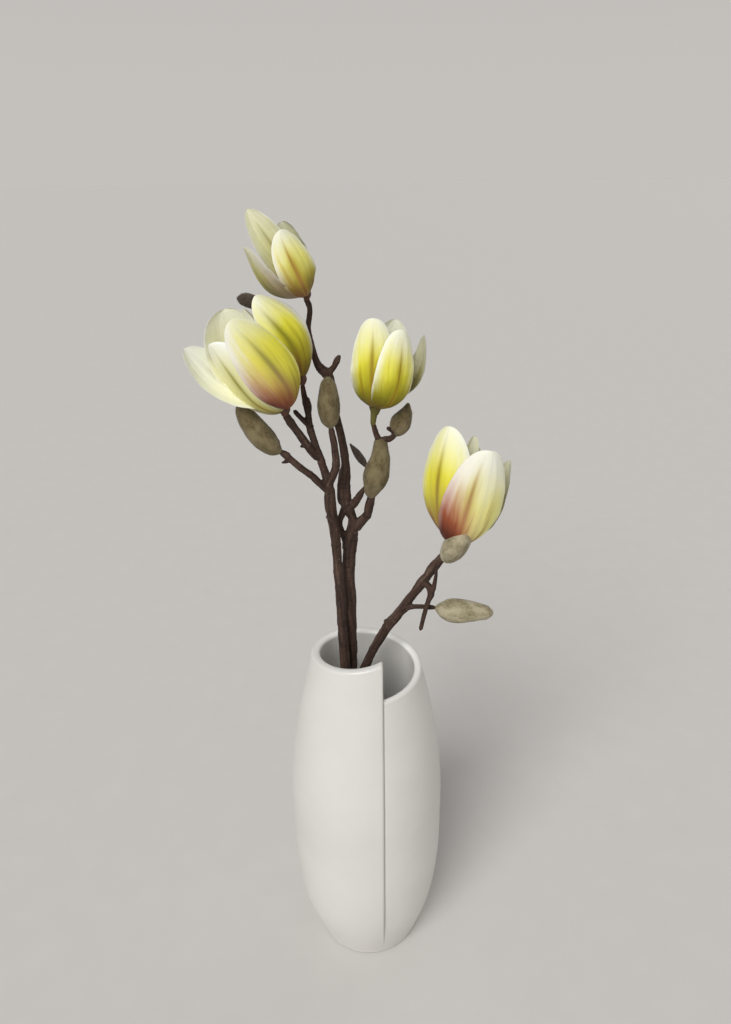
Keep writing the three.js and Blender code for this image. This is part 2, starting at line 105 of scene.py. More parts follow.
class Tree:
    # adds nodes to a material, to the world or to a geometry tree
    def __init__(self, group):
        self.group = group
        self.nodes = group.nodes
        self.links = group.links

    def add(self, kind, settings=None, inputs=None, output=0):
        node = self.nodes.new(kind)
        for name, value in (settings or {}).items():
            setattr(node, name, value)
        for key, value in (inputs or {}).items():
            for one in value if isinstance(value, list) else [value]:
                self.plug(one, node.inputs[key])
        return Value(self, node.outputs[output]) if len(node.outputs) else None

    def plug(self, value, socket):
        if isinstance(value, Value):
            self.links.new(value.socket, socket)
        elif socket.type == "RGBA" and len(value) == 3:
            socket.default_value = (*value, 1)
        else:
            socket.default_value = value

    def calculate(self, operation, *operands):
        vectors = [value for value in operands if isVector(value)]
        numbers = [value for value in operands if not isVector(value)]
        if not vectors:
            return self.add("ShaderNodeMath", {"operation": operation}, dict(enumerate(operands)))
        if operation == "MULTIPLY" and numbers:
            scaled = {"Vector": vectors[0], "Scale": numbers[0]}
            return self.add("ShaderNodeVectorMath", {"operation": "SCALE"}, scaled)
        return self.add("ShaderNodeVectorMath", {"operation": operation}, dict(enumerate(operands)))

    def join(self, x, y, z):
        return self.add("ShaderNodeCombineXYZ", None, {"X": x, "Y": y, "Z": z})

    def split(self, vector):
        parts = self.add("ShaderNodeSeparateXYZ", None, {"Vector": vector}).socket.node.outputs
        return [Value(self, part) for part in parts]

    def step(self, low, high, value):
        # rises smoothly from 0 at low to 1 at high
        ends = {"Value": value, "From Min": low, "From Max": high}
        return self.add("ShaderNodeMapRange", {"interpolation_type": "SMOOTHSTEP"}, ends)

    def mix(self, amount, under, over):
        # one colour laid over another
        return self.add("ShaderNodeMix", {"data_type": "RGBA"}, {0: amount, 6: under, 7: over}, 2)

    def noise(self, place, scale, detail, roughness=0.5):
        sizes = {"Vector": place, "Scale": scale, "Detail": detail, "Roughness": roughness}
        return self.add("ShaderNodeTexNoise", None, sizes)

    def sine(self, value):
        return self.calculate("SINE", value)

    def size(self, value):
        return self.calculate("ABSOLUTE", value)

    def atLeast(self, low, value):
        return self.calculate("MAXIMUM", value, low)

    def atMost(self, high, value):
        return self.calculate("MINIMUM", value, high)

    def unit(self, vector):
        return self.calculate("NORMALIZE", vector)

    def cross(self, a, b):
        return self.calculate("CROSS_PRODUCT", a, b)

    def bell(self, value, width):
        # 1 at zero, falling off within the width on both sides
        return self.calculate("EXPONENT", -1 * (value / width) ** 2)

    def stored(self, name):
        # what a mesh holds at each point under this name
        return self.add("GeometryNodeInputNamedAttribute", {"data_type": "FLOAT_VECTOR"}, {"Name": name})

    def chance(self, low, high, seed):
        # another number at each point
        return self.add("FunctionNodeRandomValue", {"data_type": "FLOAT"}, {2: low, 3: high, "Seed": seed}, 1)

    def scatter(self, mesh, density, seed):
        # points strewn over a surface, so many for each square millimetre
        spread = {"Mesh": mesh, "Density": density * perSquareMillimetre, "Seed": seed}
        return self.add("GeometryNodeDistributePointsOnFaces", None, spread)

    def shift(self, geometry, offset):
        return self.add("GeometryNodeSetPosition", None, {"Geometry": geometry, "Offset": offset})

    def paint(self, geometry, material):
        return self.add("GeometryNodeSetMaterial", None, {"Geometry": geometry, "Material": material})

    def together(self, parts):
        return self.add("GeometryNodeJoinGeometry", None, {"Geometry": parts})


def shapeTree(name, sizes):
    # a geometry tree with a geometry input and the named inputs
    kinds = {float: "Float", int: "Int", tuple: "Vector", bpy.types.Material: "Material"}
    group = bpy.data.node_groups.new(name, "GeometryNodeTree")
    group.interface.new_socket("Geometry", in_out="INPUT", socket_type="NodeSocketGeometry")
    group.interface.new_socket("Geometry", in_out="OUTPUT", socket_type="NodeSocketGeometry")
    for label, kind in sizes.items():
        group.interface.new_socket(label, in_out="INPUT", socket_type="NodeSocket" + kinds[kind])
    tree = Tree(group)
    sockets = tree.add("NodeGroupInput").socket.node.outputs
    return tree, {socket.name: Value(tree, socket) for socket in sockets if socket.name}


def finishShape(tree, geometry, material):
    solid = tree.add("GeometryNodeRealizeInstances", None, {"Geometry": geometry})
    solid = tree.add("GeometryNodeSetShadeSmooth", None, {"Geometry": solid})
    tree.add("NodeGroupOutput", {"is_active_output": True}, {"Geometry": tree.paint(solid, material)})


def grow(name, tree, sizes, mesh=None):
    # an object that holds the plain mesh which a geometry tree makes
    host = bpy.data.objects.new(name, mesh or bpy.data.meshes.new(name))
    bpy.context.collection.objects.link(host)
    modifier = host.modifiers.new("shape", "NODES")
    modifier.node_group = tree.group
    for item in tree.group.interface.items_tree:
        if item.in_out == "INPUT" and item.name in sizes:
            modifier[item.identifier] = sizes[item.name]
    return settle(host)


def settle(host):
    # turns an object's modifiers into plain mesh
    depsgraph = bpy.context.evaluated_depsgraph_get()
    made = bpy.data.meshes.new_from_object(
        host.evaluated_get(depsgraph), preserve_all_data_layers=True, depsgraph=depsgraph
    )
    made.name = host.name
    host.modifiers.clear()
    host.data = made
    return host


def joinPieces(name, parts):
    with bpy.context.temp_override(active_object=parts[0], selected_editable_objects=parts):
        bpy.ops.object.join()
    parts[0].name = name
    parts[0].data.name = name
    return parts[0]


def meshPiece(name, points, faces, materials=()):
    mesh = bpy.data.meshes.new(name)
    mesh.from_pydata([tuple(float(c) * mm for c in p) for p in points], [], faces)
    mesh.validate()
    for material in materials:
        mesh.materials.append(material)
    mesh.shade_smooth()
    piece = bpy.data.objects.new(name, mesh)
    bpy.context.collection.objects.link(piece)
    return piece


def storeVectors(mesh, name, vectors):
    layer = mesh.attributes.new(name, "FLOAT_VECTOR", "POINT")
    layer.data.foreach_set("vector", np.asarray(vectors, dtype=np.float32).ravel())


def place(piece, slotName, *nodes):
    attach(piece, "root")
    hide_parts(*nodes)
    return piece


# Materials

def newMaterial(name, settings):
    material = bpy.data.materials.new(name)
    material.use_nodes = True
    tree = Tree(material.node_tree)
    shader = material.node_tree.nodes["Principled BSDF"]
    for socket, value in settings.items():
        shader.inputs[socket].default_value = value
    return material, tree, shader


def attribute(tree, name):
    return tree.add("ShaderNodeAttribute", {"attribute_type": "GEOMETRY", "attribute_name": name}, None, 1)


def objectPlace(tree):
    return tree.add("ShaderNodeTexCoord", None, None, 3)


def addBump(tree, shader, height, distance):
    sizes = {"Height": height, "Distance": distance * mm, "Strength": 1.0}
    tree.plug(tree.add("ShaderNodeBump", None, sizes), shader.inputs["Normal"])


def limbNoise(tree, name, around, onward, detail, roughness=0.5):
    # noise stretched along a limb or a bud, whose named attribute says where each point lies
    u, v, along = tree.split(attribute(tree, name))
    return tree.noise(tree.join(u * around, v * around, along * onward), 1, detail, roughness)


glazeLook = {
    "white": (0.70, 0.685, 0.65),
    "shade": (0.65, 0.635, 0.60),
    "cloudScale": 14,
    "orangePeelScale": 420,
    "orangePeelDepth": 0.03,
    "inside": (0.90, 0.885, 0.84),  # painted light: the inside is painted lighter, because little light gets in
}


def makeGlaze():
    look = glazeLook
    material, tree, shader = newMaterial("glaze", {"Coat Roughness": 0.16, "IOR": 1.46})
    spot = objectPlace(tree)
    cloud = tree.step(0.3, 0.75, tree.noise(spot, look["cloudScale"], 4))
    inside, _, _ = tree.split(attribute(tree, "inside"))
    colour = tree.mix(cloud, look["white"], look["shade"])
    # painted light: the inside of the wall is painted lighter than the outside, because little light gets in
    tree.plug(tree.mix(inside, colour, look["inside"]), shader.inputs["Base Color"])
    tree.plug(0.36 + 0.1 * cloud, shader.inputs["Roughness"])
    tree.plug(0.3 - 0.1 * cloud, shader.inputs["Coat Weight"])
    addBump(tree, shader, tree.noise(spot, look["orangePeelScale"], 1), look["orangePeelDepth"])
    return material


barkLook = {
    "dark": (0.020, 0.011, 0.008),
    "brown": (0.066, 0.036, 0.025),
    "ridge": (0.16, 0.104, 0.076),
    # how often each pattern comes in a millimetre, round the limb and along it
    "fibre": (0.55, 0.05),
    "patch": (0.12, 0.035),
    "band": (0.05, 0.5),
    "depth": 0.5,
}


def makeBark():
    look = barkLook
    material, tree, shader = newMaterial("bark", {"Specular IOR Level": 0.3})
    fibre = limbNoise(tree, "bark", *look["fibre"], 5, 0.6)
    patch = limbNoise(tree, "bark", *look["patch"], 3)
    band = limbNoise(tree, "bark", *look["band"], 2)
    colour = tree.mix(tree.step(0.3, 0.62, fibre), look["dark"], look["brown"])
    colour = tree.mix(tree.step(0.56, 0.74, fibre * 0.7 + patch * 0.3), colour, look["ridge"])
    colour = tree.mix(tree.step(0.52, 0.72, patch) * 0.35, colour, look["ridge"])
    colour = tree.mix(tree.step(0.55, 0.7, band) * 0.6, colour, look["dark"])
    tree.plug(colour, shader.inputs["Base Color"])
    tree.plug(0.9 - 0.25 * patch, shader.inputs["Roughness"])
    addBump(tree, shader, fibre + band * 0.4, look["depth"])
    return material


def makeLenticel():
    material, tree, shader = newMaterial("lenticel", {"Roughness": 0.9})
    grain = tree.noise(objectPlace(tree), 900, 2)
    tree.plug(tree.mix(grain, (0.13, 0.08, 0.055), (0.24, 0.17, 0.12)), shader.inputs["Base Color"])
    return material


petalLook = {
    "cream": (0.90, 0.90, 0.72),
    "white": (0.92, 0.93, 0.87),
    "yellow": (0.82, 0.77, 0.05),
    "gold": (0.56, 0.49, 0.01),
    "olive": (0.24, 0.22, 0.003),
    "ochre": (0.38, 0.225, 0.008),
    "brown": (0.105, 0.045, 0.006),
    "lilac": (0.62, 0.42, 0.44),
    "rose": (0.40, 0.105, 0.04),
    "mauve": (0.10, 0.019, 0.010),
    "shadow": (0.25, 0.24, 0.175),
}


def makePetal():
    look = petalLook
    settings = {
        "Subsurface Weight": 0.08, "Subsurface Scale": 0.0015, "Subsurface Radius": (1.0, 0.8, 0.3),
        "Specular IOR Level": 0.3,
    }
    material, tree, shader = newMaterial("petal", settings)
    # w runs across the petal from -1 to 1, s from its base to its tip, and inside is 1 on the inner skin
    w, s, inside = tree.split(attribute(tree, "spread"))
    yellow, flush, rib = tree.split(attribute(tree, "tint"))
    lean, variety, side = tree.split(attribute(tree, "drift"))
    deep, reach, paintedShade = tree.split(attribute(tree, "depth"))
    ribAt, flushReach, white = tree.split(attribute(tree, "marks"))
    cloud = tree.noise(tree.join(w * 1.3, s * 2.6, variety * 4), 1, 3) - 0.5
    vein = tree.noise(tree.join(w * 5.5, s * 0.9, variety * 7), 1, 2, 0.6)
    fine = tree.noise(tree.join(w * 24, s * 3, variety * 3), 1, 2)
    fromRib = tree.size(w - ribAt)
    streak = tree.noise(tree.join((fromRib - s * 0.4) * 5.5, s * 1.1, variety * 7 + w * 0.7), 1, 2, 0.55)

    # yellow fills the middle and thins out towards the edges and the tip
    heart = 1 - tree.step(0.55, 1.25, tree.size(w - lean) + cloud * 0.4 + (0.5 - streak) * 0.8)
    rise = 1 - tree.step(0.6, 1.15, (s + cloud * 0.3) / reach)
    colour = tree.mix(white, look["cream"], look["white"])
    colour = tree.mix(heart * rise * yellow * (1 - 0.4 * inside), colour, look["yellow"])
    lower = 1 - tree.step(0.25, 0.85, (s + cloud * 0.3 + fromRib * 0.2) / reach)
    colour = tree.mix(lower * heart * deep * 0.9, colour, look["gold"])
    low = 1 - tree.step(0.08, 0.3 + deep * 0.32, s + cloud * 0.3 + fromRib * 0.1)
    colour = tree.mix(low * deep * 0.9, colour, look["olive"])
    foot = 1 - tree.step(0.02, 0.14 + deep * 0.16, s + cloud * 0.2 + fromRib * 0.1)
    colour = tree.mix(foot * deep * 0.6, colour, look["brown"])

    # the midrib, and softer veins that run to the base with it
    shown = tree.step(0.0, 0.1, s) * (1 - tree.step(0.55, 0.97, s)) * rib
    strong = tree.step(1.25, 1.45, rib)  # the strongest ribs are ochre all the way up
    groove = tree.mix(1 - tree.step(0.08, 0.45, s) * (1 - strong), look["olive"], look["ochre"])
    stain = tree.mix(1 - tree.step(0.02, 0.38, s), groove, look["brown"])
    halo = tree.mix(strong, groove, look["gold"])
    colour = tree.mix(tree.bell(w - ribAt, 0.2) * shown * 0.45, colour, halo)
    near = (1 - tree.step(0.25, 0.85, s)) * (1 - tree.step(0.6, 1.1, fromRib))
    colour = tree.mix(tree.step(0.5, 0.66, streak) * near * rib * 0.55, colour, stain)
    colour = tree.mix(tree.bell(w - ribAt, 0.07) * shown * 0.75, colour, stain)

    # the flush that rises from the base, often on one side
    oneSided = tree.size(side)
    climb = (s + (vein - 0.5) * 0.25 + cloud * 0.25) / flushReach + (oneSided - w * side) * 0.22
    sided = 1 - tree.step(-0.35, 0.6, w * side * -1) * oneSided
    high = (1 - tree.step(0.3, 0.95, climb)) * sided
    middle = (1 - tree.step(0.15, 0.6, climb)) * sided
    deepest = (1 - tree.step(0.06, 0.42, climb)) * (0.2 + sided * 0.75)
    colour = tree.mix(high * flush * 0.24, colour, look["lilac"])
    colour = tree.mix(middle * flush, colour, look["rose"])
    colour = tree.mix(deepest * flush, colour, look["mauve"])

    # a pale margin, weaker on a flushed petal, and painted shade: a grey laid over a petal that sits in the
    # shade
    margin = tree.step(0.86, 0.99, tree.size(w)) * tree.step(0.05, 0.4, s)
    colour = tree.mix(margin * (0.45 - 0.3 * tree.atMost(1.0, flush)), colour, look["white"])
    colour = tree.mix(paintedShade * (0.8 + cloud), colour, look["shadow"])
    tree.plug(colour, shader.inputs["Base Color"])
    tree.plug(0.5 + 0.2 * fine, shader.inputs["Roughness"])
    addBump(tree, shader, vein * 0.5 + streak * 0.4 + fine * 0.3, 0.4)
    return material


def makeFelt(name, dark, light, tip):
    material, tree, shader = newMaterial(name, {"Roughness": 0.95, "Sheen Weight": 0.12})
    grain = limbNoise(tree, "grain", 0.9, 0.45, 5, 0.68)
    patch = limbNoise(tree, "grain", 0.16, 0.1, 2)
    colour = tree.mix(tree.step(0.28, 0.66, grain), dark, light)
    colour = tree.mix(tree.step(0.36, 0.66, patch) * 0.7, colour, tip)
    tree.plug(colour, shader.inputs["Base Color"])
    addBump(tree, shader, grain, 0.35)
    return material


def makeStalk(name, dark, light):
    material, tree, shader = newMaterial(name, {"Roughness": 0.7})
    speck = tree.noise(objectPlace(tree), 240, 3)
    tree.plug(tree.mix(speck, dark, light), shader.inputs["Base Color"])
    addBump(tree, shader, speck, 0.2)
    return material


def makeFloor():
    material, tree, shader = newMaterial("floor", {"Roughness": 0.9, "Specular IOR Level": 0.2})
    grain = tree.noise(objectPlace(tree), 30, 4)
    tree.plug(tree.mix(grain, (0.585, 0.567, 0.54), (0.62, 0.601, 0.573)), shader.inputs["Base Color"])
    return material


glaze = makeGlaze()
bark = makeBark()
lenticel = makeLenticel()
petalSkin = makePetal()
felt = makeFelt("felt", (0.062, 0.043, 0.016), (0.155, 0.12, 0.052), (0.235, 0.19, 0.098))
paleFelt = makeFelt("paleFelt", (0.13, 0.108, 0.056), (0.36, 0.31, 0.185), (0.49, 0.435, 0.30))
# painted shade: a darker felt for the buds that sit in shadow at the back
shadedFelt = makeFelt("shadedFelt", (0.028, 0.018, 0.013), (0.07, 0.05, 0.036), (0.11, 0.085, 0.06))
calyx = makeStalk("calyx", (0.055, 0.02, 0.014), (0.13, 0.06, 0.035))
stalkSkin = makeStalk("stalk", (0.075, 0.062, 0.010), (0.15, 0.125, 0.02))
print("materials made")


# Curves and tubes

def cubicSteps(start, end, pull, push, perStep):
    # points of the cubic that leaves the start with one slope and reaches the end with the other
    for u in np.arange(perStep) / perStep:
        cubic = (2 * start - 2 * end + pull + push) * u**3
        yield cubic + (3 * end - 3 * start - 2 * pull - push) * u**2 + pull * u + start


def catmull(points, perStep):
    # an even spline through points of any dimension, for outlines and radii
    points = np.asarray(points, dtype=float)
    ends = np.vstack([points[:1], points, points[-1:]])
    out = []
    for i in range(len(points) - 1):
        a, b, c, d = ends[i:i + 4]
        out.extend(cubicSteps(b, c, (c - a) / 2, (d - b) / 2, perStep))
    return np.array(out + [points[-1]])


def stemPath(points, perStep):
    # a centripetal spline through x, y, z with a radius at each point
    data = np.asarray(points, dtype=float)
    at = data[:, :3]
    ends = np.vstack([2 * at[0] - at[1], at, 2 * at[-1] - at[-2]])
    out = []
    for i in range(len(at) - 1):
        a, b, c, d = ends[i:i + 4]
        ab, bc, cd = [np.sqrt(np.linalg.norm(q - p)) for p, q in ((a, b), (b, c), (c, d))]
        pull = ((b - a) / ab - (c - a) / (ab + bc) + (c - b) / bc) * bc
        push = ((c - b) / bc - (d - b) / (bc + cd) + (d - c) / cd) * bc
        out.extend(cubicSteps(b, c, pull, push, perStep))
    centres = np.vstack([out, at[-1]])
    return centres, catmull(data[:, 3:], perStep)[:, 0]


def lengthAlong(path):
    return np.concatenate([[0], np.cumsum(np.linalg.norm(np.diff(path, axis=0), axis=1))])


def framesAlong(centres):
    # a tangent, a normal and a side at each point, carried along without twist
    tangents = np.gradient(centres, axis=0)
    tangents /= np.linalg.norm(tangents, axis=1)[:, None]
    normal = np.array([1.0, 0, 0]) if abs(tangents[0][2]) > 0.8 else np.array([0, 0, 1.0])
    normals = []
    for tangent in tangents:
        normal = normal - tangent * normal.dot(tangent)
        normal /= np.linalg.norm(normal)
        normals.append(normal)
    normals = np.array(normals)
    return tangents, normals, np.cross(tangents, normals)


def tube(points, sides=16, perStep=6, endRound=0.4):
    # rings round a path, whose ends are rounded down to half their radius
    centres, radii = stemPath(points, perStep)
    tangents, normals, across = framesAlong(centres)
    reach = lengthAlong(centres)
    nearEnd = np.minimum(reach, reach[-1] - reach) / np.maximum(radii * endRound, 1e-6)
    radii = radii * np.sqrt(1 - 0.75 * np.clip(1 - nearEnd, 0, 1) ** 2)
    turns = 2 * pi * np.arange(sides) / sides
    rings = [
        centre + radius * (np.outer(np.cos(turns), normal) + np.outer(np.sin(turns), side))
        for centre, radius, normal, side in zip(centres, radii, normals, across)
    ]
    vertices = np.vstack(rings + [centres[:1], centres[-1:]])
    # the same points as if the path were straight, which the felt's grain follows
    straight = [
        np.stack([radius * np.cos(turns), radius * np.sin(turns), np.full(sides, at)], 1)
        for radius, at in zip(radii, reach)
    ]
    grain = np.vstack(straight + [[(0, 0, 0)], [(0, 0, reach[-1])]])
    last = len(rings) - 1
    faces = []
    for k in range(last):
        for i in range(sides):
            j = (i + 1) % sides
            faces.append((k * sides + i, k * sides + j, (k + 1) * sides + j, (k + 1) * sides + i))
    for i in range(sides):
        j = (i + 1) % sides
        faces.append((len(vertices) - 2, j, i))
        faces.append((len(vertices) - 1, last * sides + i, last * sides + j))
    along = np.vstack([np.repeat(tangents, sides, axis=0), tangents[:1], tangents[-1:]])
    return vertices, faces, along, grain


# The vase

vase = {
    "highRim": 300, "lowRim": 270, "rimFall": 0.75,
    "seamOffset": 12.5,  # how far right of the front the seam runs
    "lap": 2.2, "lapStart": 8, "lapFull": 60,  # how far the free end stands out, and at which heights
    "wall": 5.5, "floor": 8, "footRadius": 38,
    "footEdge": [(41.6, 0.35), (43.2, 1.4), (44, 3.4), (44.4, 6)],  # radius, height
    "outline": [  # height, outer radius
        (0, 42.8), (40, 54.3), (85, 59.8), (125, 60.5), (165, 60),
        (205, 56.3), (240, 50), (270, 43.2), (300, 36.4),
    ],
    "sharedHeight": 240,  # the rows below this are level all the way round
    "innerHeights": [250, 230, 210, 185, 160, 140, 118, 95, 72, 50, 34, 22, 15, 11],
    "innerFillet": 5,
    "edgeRound": 1.5,  # of the sheet's free end
    "cornerRound": 2.6,  # where the free end meets the rim
    "grooveDepth": 1.0, "grooveWidth": 1.4,  # of the shadow line at the foot of the lap
    "columns": 150, "lowRows": 46, "highRows": 14, "lipRows": 14, "upperRows": 8,
    "seamColumns": [0, 0.06, 0.16, 0.3, 0.5, 0.8, 1.15, 1.5, 2.2, 3.2],  # from each side of the seam
    "columnsStart": 4.5,  # how far from the seam the even columns start
    "mergeDistance": 0.004,
    "sharpAngle": 50,
}


def buildVase():
    spec = vase
    wall, lowRim = spec["wall"], spec["lowRim"]
    heights = catmull(spec["outline"], 25)
    sharedTop = lowRim - wall / 2

    def radiusAt(z):
        return float(np.interp(z, heights[:, 0], heights[:, 1]))

    def ease(z):
        x = min(1, max(0, (z - spec["lapStart"]) / (spec["lapFull"] - spec["lapStart"])))
        return x * x * (3 - 2 * x)

    def bevel(distance, radius):
        near = max(0, 1 - distance / radius)
        return radius * (1 - (1 - near * near) ** 0.5)

    def section(t, fromFree, fromLow):
        # radius and height from the middle of the foot, up the outside and down the inside
        rim = spec["highRim"] - (spec["highRim"] - lowRim) * t ** spec["rimFall"]
        rim -= bevel(fromFree, spec["cornerRound"])
        inset = bevel(fromFree, spec["edgeRound"])
        groove = spec["grooveDepth"] * max(0, 1 - fromLow / spec["grooveWidth"]) ** 2
        top = rim - wall / 2
        rows = [(0, 0), (spec["footRadius"], 0), *spec["footEdge"]]
        levels = np.linspace(spec["lapStart"], spec["sharedHeight"], spec["lowRows"] + 1)
        upper = np.linspace(spec["sharedHeight"], top, spec["highRows"] + 1)[1:]
        for z in [*levels, *upper]:
            rows.append((radiusAt(z) + spec["lap"] * (1 - t) * ease(z) - (inset + groove) * ease(z), z))
        outer = radiusAt(top) + spec["lap"] * (1 - t) - inset - groove
        inner = radiusAt(top) - wall + inset
        half = (outer - inner) / 2
        for k in range(1, spec["lipRows"]):
            turn = pi * k / spec["lipRows"]
            rows.append((inner + half + half * cos(turn), top + (wall / 2 - inset) * sin(turn)))
        for k in range(spec["upperRows"]):
            part = k / spec["upperRows"]
            z = top - (top - sharedTop) * part
            rows.append((radiusAt(z) - wall + inset * (1 - part), z))
        for z in [sharedTop, *spec["innerHeights"]]:
            rows.append((radiusAt(z) - wall, z))
        rows.append((radiusAt(spec["floor"]) - wall - spec["innerFillet"], spec["floor"]))
        rows.append((0, spec["floor"]))
        return rows

    # columns crowd towards both sides of the seam
    around = 2 * pi * radiusAt(sharedTop)
    close = np.array(spec["seamColumns"])
    even = np.linspace(spec["columnsStart"], around - spec["columnsStart"], spec["columns"])
    marks = np.concatenate([close, even, around - close[::-1]])
    sections = [section(d / around, d, around - d) for d in marks]
    count = len(sections[0])

    points = []
    for d, rows in zip(marks, sections):
        turn = -2 * pi * (d / around) - pi / 2
        for r, z in rows:
            angle = turn + asin(min(1, spec["seamOffset"] / max(r, 1)))
            points.append((r * cos(angle), r * sin(angle), z))
    faces = []
    for i in range(len(marks) - 1):
        for k in range(count - 1):
            a, b = i * count + k, (i + 1) * count + k
            faces.append((a, a + 1, b + 1, b))

    # the step at the seam: level rows as a strip, the free end above them as one flat face
    low = 2 + len(spec["footEdge"])
    shared = low + spec["lowRows"]
    high = count - len(spec["innerHeights"]) - 3
    lastColumn = (len(marks) - 1) * count
    for k in range(2, shared):
        faces.append((k, lastColumn + k, lastColumn + k + 1, k + 1))
    shortTop = high - spec["upperRows"]
    tall = list(range(shared, high + 1))
    short = [lastColumn + k for k in range(shared, shortTop)]
    faces.append(tuple(short + tall[::-1]))

    # 0 on the outside and 1 on the inside, where the glaze paints the inside lighter as painted light
    inside = [
        (min(1, max(0, (radiusAt(z) - hypot(x, y)) / wall)) if z >= spec["floor"] else 0, 0, 0)
        for x, y, z in points
    ]
    piece = meshPiece("vaseSheet", points, faces, [glaze])
    storeVectors(piece.data, "inside", inside)
    mergePoints(piece, spec["mergeDistance"])
    piece.data.set_sharp_from_angle(angle=radians(spec["sharpAngle"]))
    return place(piece, "glaze", "vase")


def mergePoints(piece, distance):
    # closes the middle of the foot and the seam
    tree, inputs = shapeTree("merge points", {"Distance": float})
    merged = tree.add("GeometryNodeMergeByDistance", None,
                      {"Geometry": inputs["Geometry"], "Distance": inputs["Distance"]})
    tree.add("NodeGroupOutput", None, {"Geometry": merged})
    modifier = piece.modifiers.new("merge", "NODES")
    modifier.node_group = tree.group
    modifier[tree.group.interface.items_tree["Distance"].identifier] = distance * mm
    return settle(piece)


buildVase()
print("vase made")


# Stems

leftStem = {
    "limbs": [
        [
            (-2, -11, 8.3, 4.3), (-5, -10, 90, 4.3), (-11, -8, 190, 4.2), (-15.5, -6, 280, 3.8),
            (-17.5, -6, 338, 3.4), (-19, -6, 371, 3.4), (-20, -6, 393, 3.9), (-22, -6, 409, 3.8),
            (-22.5, -5, 421, 3.7), (-24.5, -5, 431.5, 2.9), (-27.5, -5, 443, 2.7), (-31, -4, 454, 2.4),
            (-34, -3, 465, 2.5), (-34.5, -3, 473, 2.1), (-36, -3, 482, 2.1), (-37, -3, 489, 1.8),
            (-37.5, -3, 494, 1.6),
        ],
        # to the left bloom, with a stub below
        [
            (-29, -5, 444, 2.6), (-33.5, -8, 450.5, 2.6), (-36, -11, 456.5, 2.8), (-43, -17, 470, 2.5),
            (-48, -20, 480, 2.5),
        ],
        [(-37, -11, 456, 1.8), (-40.5, -11, 454.5, 0.9)],
        # to the left bud, with a spur
        [
            (-24, -5, 421, 2.7), (-29.5, -8, 428, 2.5), (-33.5, -10, 433.5, 2.3), (-41, -13, 441, 2.4),
            (-46.5, -15, 447.5, 2.3), (-49.5, -16, 451, 2.6), (-53, -17, 454, 1.6),
        ],
        [(-47, -15, 447.5, 1.8), (-50, -15, 446, 1.4), (-53, -15, 445, 0.6)],
        # across to the middle bud
        [
            (-23, -5, 425, 2.7), (-19.5, -8, 433.5, 2.7), (-17.5, -9, 440, 2.7), (-18, -9, 454, 2.3),
            (-19, -9, 461, 2.1), (-20, -9, 467.5, 1.9),
        ],
        # a cut twig, and spurs
        [(-34, -3, 466, 1.8), (-38, -4, 470.5, 1.8), (-44, -4, 477.5, 1.6)],
        [(-34.5, -3, 473, 1.6), (-33.5, -4, 480, 1.5), (-34, -4, 486, 0.5)],
        [(-20.5, -6, 401, 2), (-26, -7, 402, 0.7)],
    ],
}

